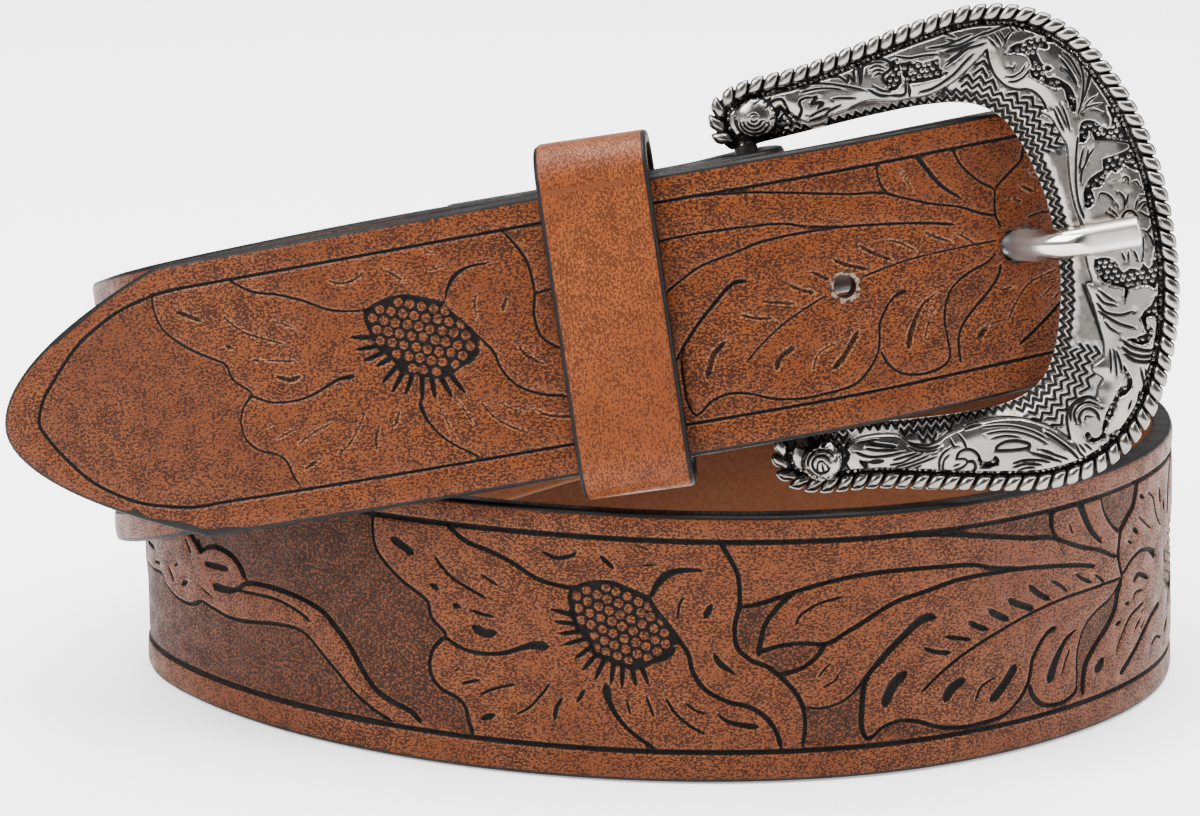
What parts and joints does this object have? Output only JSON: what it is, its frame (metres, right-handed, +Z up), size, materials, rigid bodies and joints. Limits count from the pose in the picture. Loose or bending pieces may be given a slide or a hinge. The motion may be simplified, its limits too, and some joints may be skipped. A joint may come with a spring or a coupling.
{
  "type": "leather belt",
  "caption": "Tooled leather western belt with a horseshoe buckle, buckled and rolled into a coil that stands on its lower edge.",
  "frame": {"origin": "middle of the belt's bounding box, on the floor that its lower edge stands on", "axes": "+Z up across the strap's width, -Y towards the buckle's front, +X from the pointed end towards the buckle"},
  "size_m": [0.1698, 0.1038, 0.1055],
  "materials": {
    "strap_leather": "embossed, brown with a darker speckle, inked grooves, black painted edges",
    "keeper_leather": "smooth, brown with a darker speckle, black painted edges",
    "antique_silver": "cast, antiqued silver plate with blackened recesses",
    "polished_nickel": "polished",
    "rivet_steel": "plain"
  },
  "bodies": {
    "root": {"strap": "strap_leather", "keeper": "keeper_leather", "buckle_frame": "antique_silver", "prong": "polished_nickel", "fold_rivet_1": "rivet_steel", "fold_rivet_2": "rivet_steel"}
  },
  "joints": []
}
